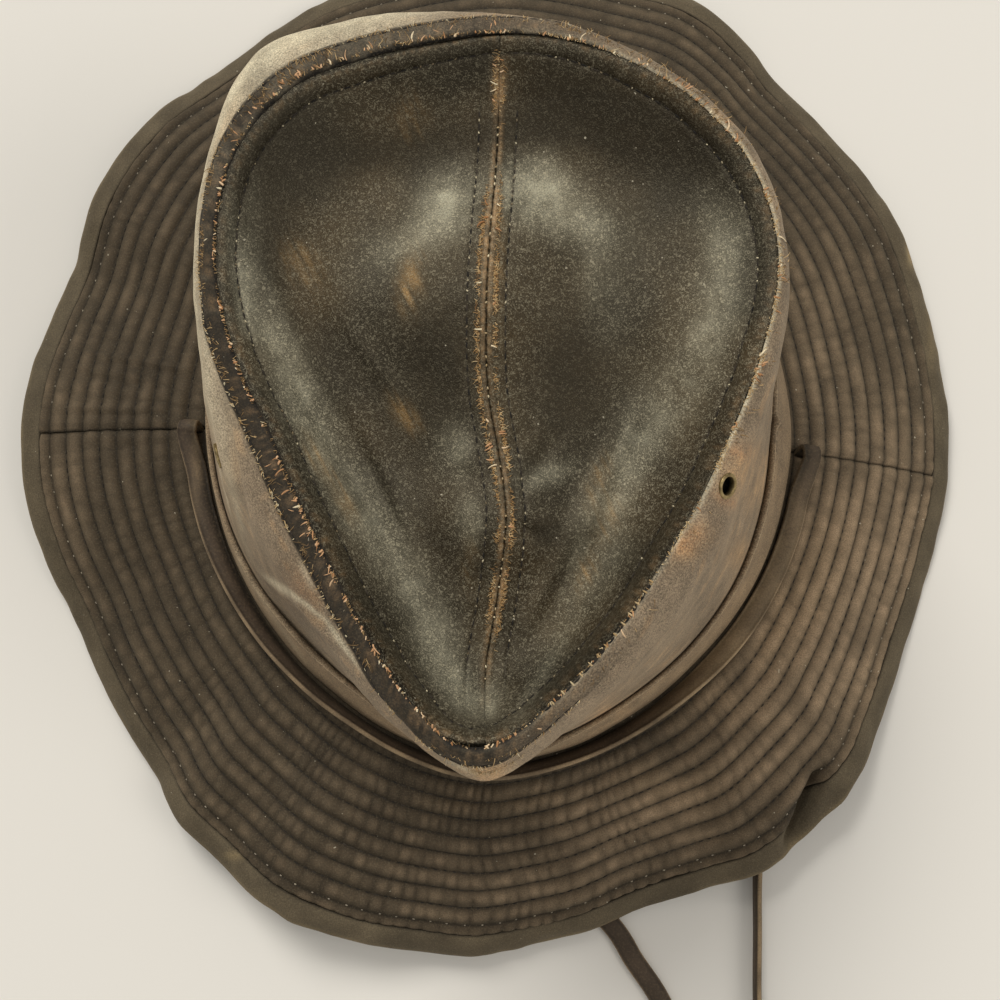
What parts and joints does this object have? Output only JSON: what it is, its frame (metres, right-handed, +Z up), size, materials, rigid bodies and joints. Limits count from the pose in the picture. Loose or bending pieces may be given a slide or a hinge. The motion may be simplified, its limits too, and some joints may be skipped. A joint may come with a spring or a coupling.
{
  "type": "bush hat",
  "caption": "Waxed-cotton bush hat with a creased teardrop crown, a hat band, a drooping quilted brim with a bound edge, brass eyelets and a chin strap.",
  "frame": {"origin": "on the floor under the middle of the brim's outline, measured without the free chin strap", "axes": "+Z up, the hat's back toward +Y and its front toward -Y, the wearer's right toward +X"},
  "size_m": [0.3006, 0.4186, 0.1439],
  "materials": {
    "tip_cloth": "waxed cotton, dark and slightly glossy",
    "side_cloth": "worn waxed cotton",
    "brim_canvas": "quilted canvas, matt",
    "strap_cloth": "folded cloth strap, matt",
    "eyelet_brass": "antique"
  },
  "bodies": {
    "root": {"crown_tip_left": "tip_cloth", "crown_tip_right": "tip_cloth", "crown_side": "side_cloth", "hat_band": "side_cloth", "brim_front": "brim_canvas", "brim_back": "brim_canvas", "brim_binding": "brim_canvas", "strap_over_brim": "strap_cloth", "chin_strap": "strap_cloth", "eyelet_left": "eyelet_brass", "eyelet_right": "eyelet_brass"}
  },
  "joints": []
}
